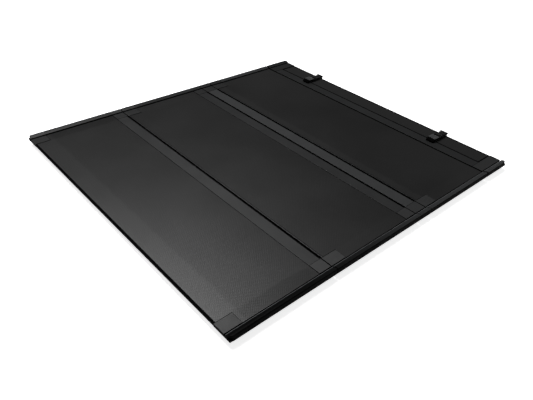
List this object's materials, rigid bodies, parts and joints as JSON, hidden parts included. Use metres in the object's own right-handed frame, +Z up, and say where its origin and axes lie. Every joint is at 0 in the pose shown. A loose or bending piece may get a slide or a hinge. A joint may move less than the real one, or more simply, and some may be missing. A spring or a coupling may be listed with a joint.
{
  "type": "tonneau cover",
  "caption": "Hard folding pickup bed cover, unfolded flat: framed boards on flexible hinge lines, a fixed header with stow straps, swing-down rail clamps and slam latches.",
  "frame": {"origin": "under the middle of the unfolded cover, on the plane that its seals rest on", "axes": "+X to the right of a person who stands behind the truck, +Y from the tailgate to the cab, +Z up"},
  "size_m": [1.57, 1.7, 0.0582],
  "materials": {
    "board_skin": "satin, fine grain",
    "powder_coat": "satin",
    "pad_skin": "matte",
    "cap_plastic": "satin",
    "seal_rubber": "matte",
    "buckle_plastic": "satin",
    "webbing": "matte",
    "zinc_steel": "satin",
    "knob_plastic": "matte"
  },
  "bodies": {
    "cab_section": {"cab_board": "board_skin", "cab_hinge_rail": "powder_coat", "cab_side_rail_left": "powder_coat", "cab_side_rail_right": "powder_coat", "cab_hinge_cap_left": "cap_plastic", "cab_hinge_cap_right": "cap_plastic", "header_rail": "powder_coat", "header_pad": "pad_skin", "header_cap_left": "cap_plastic", "header_cap_right": "cap_plastic", "cab_seal": "seal_rubber", "hinge_strip_cab": "seal_rubber", "stow_strap_left": "webbing", "stow_strap_right": "webbing", "buckle_fork_left": "buckle_plastic", "buckle_fork_right": "buckle_plastic", "clamp_bracket_left": "zinc_steel", "clamp_bracket_right": "zinc_steel"},
    "link": {"link_rail": "powder_coat", "link_cap_left": "cap_plastic", "link_cap_right": "cap_plastic", "hinge_strip_mid": "seal_rubber"},
    "mid_panel": {"mid_board": "board_skin", "mid_tail_rail": "powder_coat", "mid_cab_rail": "powder_coat", "mid_side_rail_left": "powder_coat", "mid_side_rail_right": "powder_coat", "mid_tail_cap_left": "cap_plastic", "mid_tail_cap_right": "cap_plastic", "mid_cab_cap_left": "cap_plastic", "mid_cab_cap_right": "cap_plastic", "mid_seal_left": "seal_rubber", "mid_seal_right": "seal_rubber", "hinge_strip_tail": "seal_rubber"},
    "tail_panel": {"tail_board": "board_skin", "tail_rear_rail": "powder_coat", "tail_hinge_rail": "powder_coat", "tail_side_rail_left": "powder_coat", "tail_side_rail_right": "powder_coat", "tail_corner_cap_left": "cap_plastic", "tail_corner_cap_right": "cap_plastic", "tail_hinge_cap_left": "cap_plastic", "tail_hinge_cap_right": "cap_plastic", "tail_seal": "seal_rubber", "latch_housing_left": "knob_plastic", "latch_housing_right": "knob_plastic", "latch_spring_left": "zinc_steel", "latch_spring_right": "zinc_steel", "release_cable": "knob_plastic"},
    "pull_handle": {"pull_handle": "knob_plastic"},
    "latch_bolt_left": {"latch_bolt_left": "zinc_steel"},
    "clamp_arm_left": {"clamp_arm_left": "zinc_steel"},
    "clamp_screw_left": {"clamp_screw_left": "knob_plastic"},
    "clamp_jaw_left": {"clamp_jaw_left": "zinc_steel"},
    "buckle_socket_left": {"buckle_socket_left": "buckle_plastic"},
    "latch_bolt_right": {"latch_bolt_right": "zinc_steel"},
    "clamp_arm_right": {"clamp_arm_right": "zinc_steel"},
    "clamp_screw_right": {"clamp_screw_right": "knob_plastic"},
    "clamp_jaw_right": {"clamp_jaw_right": "zinc_steel"},
    "buckle_socket_right": {"buckle_socket_right": "buckle_plastic"}
  },
  "joints": [
    {"name": "fold_cab", "type": "hinge", "parent": "cab_section", "child": "link", "pos_m": [0, 0.223, 0.0513], "axis": [-1, 0, 0], "range_deg": [0, 90], "deforming": ["hinge_strip_cab"]},
    {"name": "fold_mid", "type": "hinge", "parent": "link", "child": "mid_panel", "pos_m": [0, 0.152, 0.0513], "axis": [-1, 0, 0], "range_deg": [0, 90], "deforming": ["hinge_strip_mid"]},
    {"name": "fold_tail", "type": "hinge", "parent": "mid_panel", "child": "tail_panel", "pos_m": [0, -0.359, 0.0513], "axis": [-1, 0, 0], "range_deg": [0, 180], "deforming": ["hinge_strip_tail"]},
    {"name": "release_pull", "type": "slide", "parent": "tail_panel", "child": "pull_handle", "axis": [0, -1, 0], "range_m": [0, 0.014], "stiffness_N_per_m": 800, "springref_m": -0.012},
    {"name": "latch_bolt_slide_left", "type": "slide", "parent": "tail_panel", "child": "latch_bolt_left", "axis": [1, 0, 0], "range_m": [0, 0.0141], "deforming": ["latch_spring_left"]},
    {"name": "latch_bolt_slide_right", "type": "slide", "parent": "tail_panel", "child": "latch_bolt_right", "axis": [-1, 0, 0], "range_m": [0, 0.0141], "deforming": ["latch_spring_right"]},
    {"name": "clamp_swing_left", "type": "hinge", "parent": "cab_section", "child": "clamp_arm_left", "pos_m": [-0.666, 0.66, 0.013], "axis": [1, 0, 0], "range_deg": [0, 90]},
    {"name": "clamp_turn_left", "type": "hinge", "parent": "clamp_arm_left", "child": "clamp_screw_left", "pos_m": [-0.666, 0.535, 0.013], "axis": [0, 1, 0], "range_deg": [0, 3600]},
    {"name": "clamp_jaw_slide_left", "type": "slide", "parent": "clamp_arm_left", "child": "clamp_jaw_left", "axis": [0, 1, 0], "range_m": [0, 0.0401]},
    {"name": "clamp_swing_right", "type": "hinge", "parent": "cab_section", "child": "clamp_arm_right", "pos_m": [0.666, 0.66, 0.013], "axis": [1, 0, 0], "range_deg": [0, 90]},
    {"name": "clamp_turn_right", "type": "hinge", "parent": "clamp_arm_right", "child": "clamp_screw_right", "pos_m": [0.666, 0.535, 0.013], "axis": [0, 1, 0], "range_deg": [0, 3600]},
    {"name": "clamp_jaw_slide_right", "type": "slide", "parent": "clamp_arm_right", "child": "clamp_jaw_right", "axis": [0, 1, 0], "range_m": [0, 0.0401]},
    {"name": "buckle_release_left", "type": "slide", "parent": "cab_section", "child": "buckle_socket_left", "axis": [0, -1, 0], "range_m": [0, 0.042]},
    {"name": "buckle_release_right", "type": "slide", "parent": "cab_section", "child": "buckle_socket_right", "axis": [0, -1, 0], "range_m": [0, 0.042]}
  ],
  "couplings": [
    {"joint": "latch_bolt_slide_left", "follows": "release_pull", "ratio": 1},
    {"joint": "latch_bolt_slide_right", "follows": "release_pull", "ratio": 1},
    {"joint": "clamp_jaw_slide_left", "follows": "clamp_turn_left", "m_per_rad": 0.00063662},
    {"joint": "clamp_jaw_slide_right", "follows": "clamp_turn_right", "m_per_rad": 0.00063662}
  ]
}
